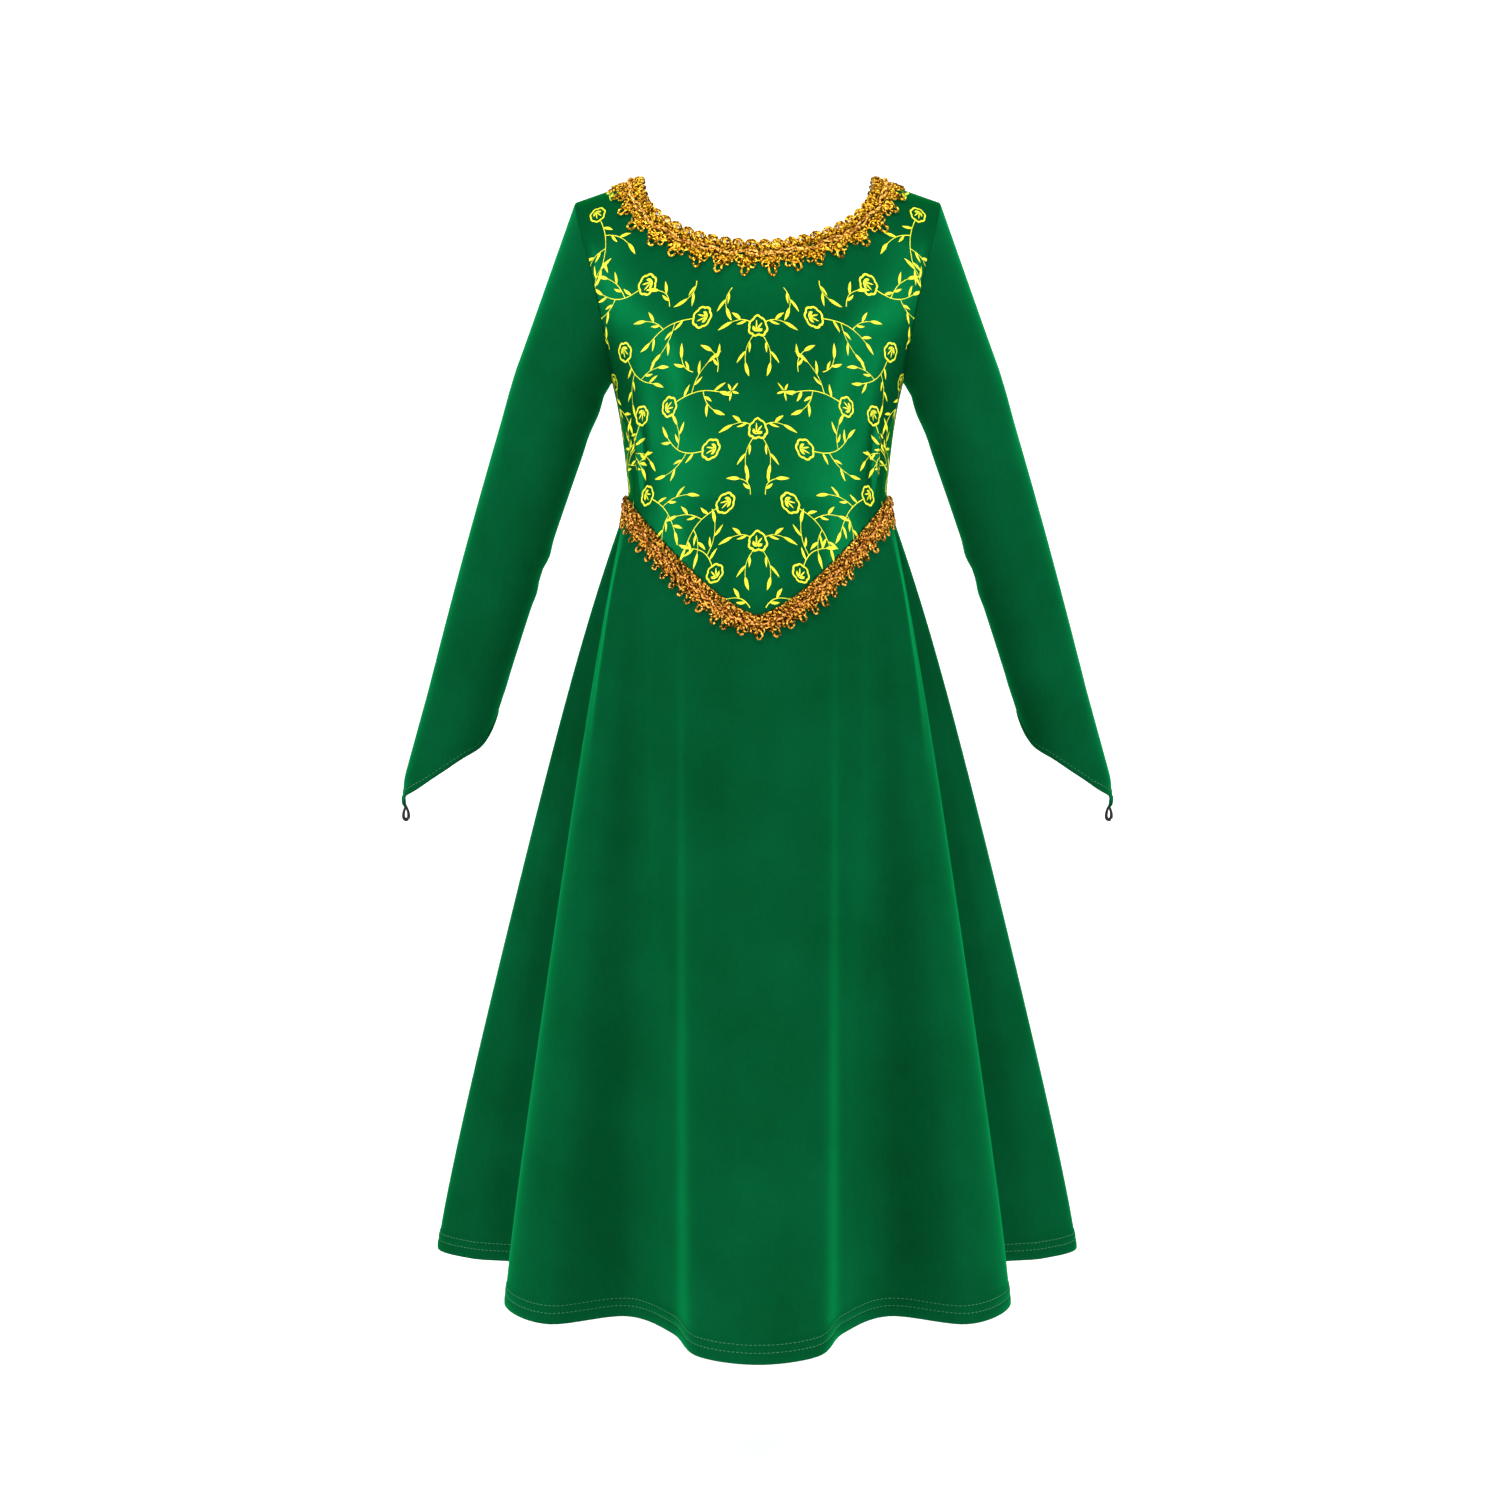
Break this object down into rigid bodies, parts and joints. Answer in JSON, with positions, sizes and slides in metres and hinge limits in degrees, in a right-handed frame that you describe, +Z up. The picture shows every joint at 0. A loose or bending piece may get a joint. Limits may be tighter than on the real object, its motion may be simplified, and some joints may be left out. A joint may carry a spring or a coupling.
{
  "type": "costume dress",
  "caption": "Girl's long-sleeved costume gown with a scoop neck, printed V-waist bodice, pointed cuffs and flared skirt, filled out as if worn.",
  "frame": {"origin": "middle of the shoulder line, halfway between the two neck ends of the shoulder seams", "axes": "+Z up to the neck, +X to the wearer's left, the front faces -Y"},
  "size_m": [0.562, 0.4475, 0.8633],
  "materials": {
    "printed_satin": "green stretch satin printed with a fine yellow vine",
    "green_cloth": "green stretch velvet with a soft sheen",
    "neck_lace": "gold gimp cord lace",
    "waist_lace": "copper-gold gimp cord lace",
    "elastic": "thin black elastic cord"
  },
  "bodies": {
    "root": {"bodice_front": "printed_satin", "bodice_back": "green_cloth", "skirt_front": "green_cloth", "skirt_back": "green_cloth", "sleeve_left": "green_cloth", "sleeve_right": "green_cloth", "neck_trim": "neck_lace", "waist_trim": "waist_lace", "finger_loop_left": "elastic", "finger_loop_right": "elastic"}
  },
  "joints": []
}
